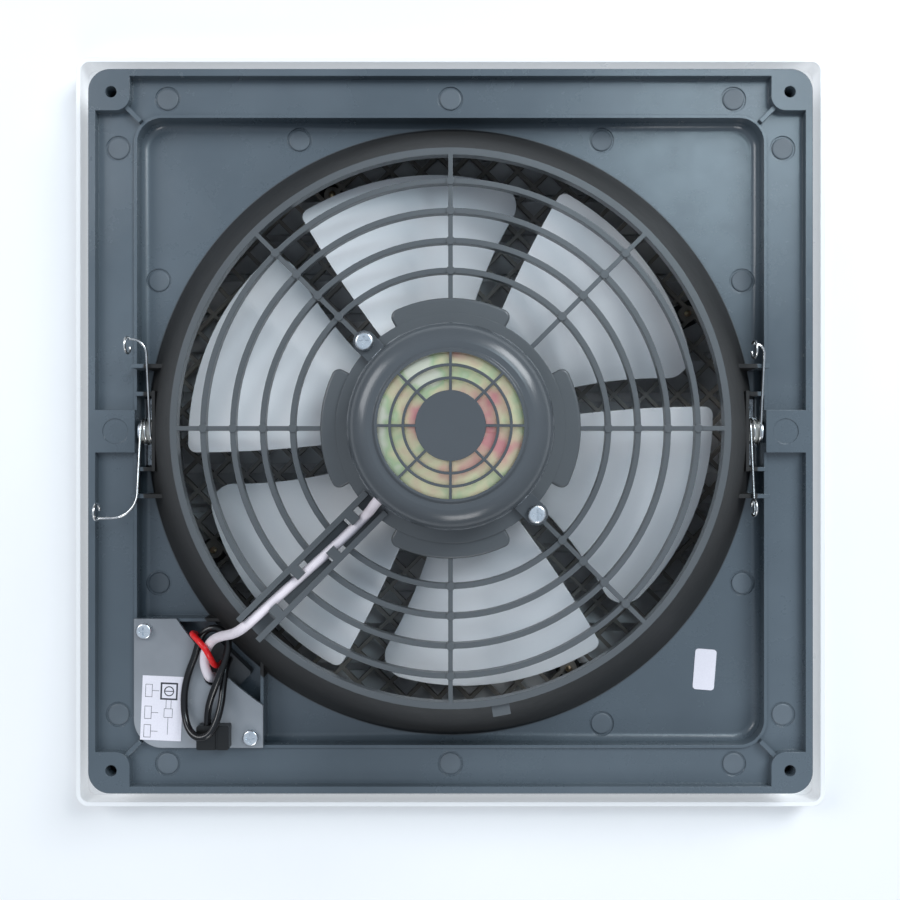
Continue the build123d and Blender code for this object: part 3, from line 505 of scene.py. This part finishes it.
dress(moulded("cover_plastic", colour=(0.300, 0.318, 0.342), rough_low=0.12, rough_high=0.36,
              vary=0.25, edge=0.6 * mm), "box_cover")
dress(moulded("black_moulding", colour=(0.007, 0.007, 0.007), rough_low=0.25, rough_high=0.4,
              edge=0.3 * mm), "supply_connector", "run_capacitor")
dress(moulded("dark_insulator", colour=(0.050, 0.054, 0.058), rough_low=0.35, rough_high=0.5),
      "terminal_block")


# The wiring label is white coated paper with a plain printed diagram: a motor symbol in a
# frame, four small boxes, and lines between them. The small sticker is bare.

label_lift = 0.03 * mm
label_turn = math.radians(-2.5)
ink_thickness = 0.02 * mm
pulp_scale = 1500.0
pulp_depth = 0.03 * mm
paper_low = (0.80, 0.77, 0.83)
paper_high = (0.86, 0.83, 0.89)
paper_roughness = 0.4


def coated_paper():
    made, tree_nodes, links, shader = material("coated_paper")
    place = object_place(tree_nodes, links)
    pulp = noise(tree_nodes, links, place, pulp_scale, detail=3.0)
    links.new(clouded(tree_nodes, links, pulp, paper_low, paper_high), shader.inputs["Base Color"])
    shader.inputs["Roughness"].default_value = paper_roughness
    bump(tree_nodes, links, shader, [(pulp, 0.2, pulp_depth)])
    return made


def printed_lines(name, centre, turn, strips, ink):
    mesh = bpy.data.meshes.new(name)
    sheet = bmesh.new()
    for start_x, start_y, end_x, end_y, width in strips:
        along = Vector((end_x - start_x, end_y - start_y, 0)).normalized()
        aside = Vector((-along.y, along.x, 0)) * (width / 2)
        start = Vector((start_x, start_y, 0))
        end = Vector((end_x, end_y, 0))
        corners = [start - aside, end - aside, end + aside, start + aside]
        sheet.faces.new([sheet.verts.new(corner) for corner in corners])
    sheet.to_mesh(mesh)
    sheet.free()
    made = bpy.data.objects.new(name, mesh)
    thick = made.modifiers.new("ink", "SOLIDIFY")
    thick.thickness = ink_thickness
    thick.offset = 1.0
    made.location = centre
    made.rotation_euler = (0, 0, turn)
    mesh.materials.append(ink)
    bpy.context.scene.collection.objects.link(made)
    return made


def outline(x, y, width, height, line):
    left, right, low, high = x - width / 2, x + width / 2, y - height / 2, y + height / 2
    half = line / 2
    return [(left - half, low, right + half, low, line), (left - half, high, right + half, high, line),
            (left, low, left, high, line), (right, low, right, high, line)]


ring_sides = 20
side_lap = 1.05


def ring_lines(x, y, radius, line):
    marks = []
    for side in range(ring_sides):
        start, end = (2 * math.pi * (side + shift) / ring_sides for shift in (0, side_lap))
        marks.append((x + radius * math.cos(start), y + radius * math.sin(start),
                      x + radius * math.cos(end), y + radius * math.sin(end), line))
    return marks


thin_line = 0.2 * mm
motor_x = 3.2 * mm
motor_y = 8.4 * mm
motor_frame = 7.6 * mm
motor_frame_line = 0.8 * mm
motor_radius = 2.2 * mm
motor_ring_line = 0.5 * mm
motor_bar_line = 0.4 * mm
side_box_x = -6.6 * mm
side_box_width = 3.2 * mm
side_box_height = 6.0 * mm
side_box_rows = (8.4 * mm, -2.2 * mm, -11.2 * mm)
stub_start = -4.9 * mm
stub_end = -1.6 * mm
switch_y = -2.2 * mm
switch_width = 4.0 * mm
switch_height = 4.2 * mm
feed_spread = 1.2 * mm
feed_top = 4.4 * mm
feed_bottom = -0.2 * mm
drop_top = -4.4 * mm
drop_bottom = -12.6 * mm

dress(coated_paper(), "wiring_label", "blank_sticker")
label_low, label_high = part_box("wiring_label")
label_centre = ((label_low.x + label_high.x) / 2, (label_low.y + label_high.y) / 2,
                label_high.z + label_lift)
diagram = outline(motor_x, motor_y, motor_frame, motor_frame, motor_frame_line)
diagram += ring_lines(motor_x, motor_y, motor_radius, motor_ring_line)
diagram.append((motor_x - motor_radius, motor_y, motor_x + motor_radius, motor_y, motor_bar_line))
for row in side_box_rows:
    diagram += outline(side_box_x, row, side_box_width, side_box_height, thin_line)
    diagram.append((stub_start, row, stub_end, row, thin_line))
diagram += outline(motor_x, switch_y, switch_width, switch_height, thin_line)
for feed_x in (motor_x - feed_spread, motor_x + feed_spread):
    diagram.append((feed_x, feed_top, feed_x, feed_bottom, thin_line))
diagram.append((motor_x, drop_top, motor_x, drop_bottom, thin_line))
ink = moulded("label_ink", colour=(0.03, 0.03, 0.04), rough_low=0.4, rough_high=0.5)
print_on_label = printed_lines("label_diagram", label_centre, label_turn, diagram, ink)
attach(print_on_label, "frame")


# The studio: a pale floor that stays under the panel as it drops, a large key light over the
# top right corner with a small blue sheen beside it, a fill from the left, a low rim light
# from the front, and a plain sky that is brighter overhead.

floor_half = 3.0
floor_gap = 0.4 * mm
floor_corners = [(-floor_half, -floor_half, 0), (floor_half, -floor_half, 0),
                 (floor_half, floor_half, 0), (-floor_half, floor_half, 0)]
light_target = Vector((0, 0, 30 * mm))
sky_stops = [(0.0, (0.30, 0.32, 0.34)), (0.45, (0.44, 0.48, 0.54)), (1.0, (0.72, 0.84, 0.98))]
sky_strength = 0.7

floor_mesh = bpy.data.meshes.new("floor")
floor_mesh.from_pydata(floor_corners, [], [(0, 1, 2, 3)])
floor = bpy.data.objects.new("floor", floor_mesh)
floor.location.z = -floor_gap
floor_mesh.materials.append(
    moulded("pale_floor", colour=(0.88, 0.88, 0.88), rough_low=0.6, rough_high=0.7, vary=0.01))
bpy.context.scene.collection.objects.link(floor)
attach(floor, "panel")


def soft_light(name, place, size, power, colour):
    data = bpy.data.lights.new(name, "AREA")
    data.shape = "SQUARE"
    data.size = size
    data.energy = power
    data.color = colour
    made = bpy.data.objects.new(name, data)
    made.location = place
    made.rotation_euler = (light_target - Vector(place)).to_track_quat("-Z", "Y").to_euler()
    bpy.context.scene.collection.objects.link(made)


soft_light("key", place=(1.15, 1.15, 1.25), size=0.9, power=27.0, colour=(0.93, 0.97, 1.0))
soft_light("fill", place=(-1.35, 0.7, 1.3), size=0.9, power=13.0, colour=(0.97, 0.98, 1.0))
soft_light("low_rim", place=(0.2, -1.5, 1.0), size=0.6, power=6.0, colour=(1.0, 1.0, 1.0))
soft_light("sheen", place=(0.46, 0.52, 1.25), size=0.36, power=2.2, colour=(0.70, 0.90, 1.0))

world = bpy.data.worlds.new("studio")
bpy.context.scene.world = world
world.use_nodes = True
sky_nodes, sky_links = world.node_tree.nodes, world.node_tree.links
sky_place = sky_nodes.new("ShaderNodeTexCoord")
sky_split = sky_nodes.new("ShaderNodeSeparateXYZ")
sky_links.new(sky_place.outputs["Generated"], sky_split.inputs["Vector"])
sky_colour = ramp(sky_nodes, sky_links, sky_split.outputs["Z"], sky_stops)
sky_links.new(sky_colour, sky_nodes["Background"].inputs["Color"])
sky_nodes["Background"].inputs["Strength"].default_value = sky_strength
bpy.context.scene.view_settings.view_transform = "Standard"
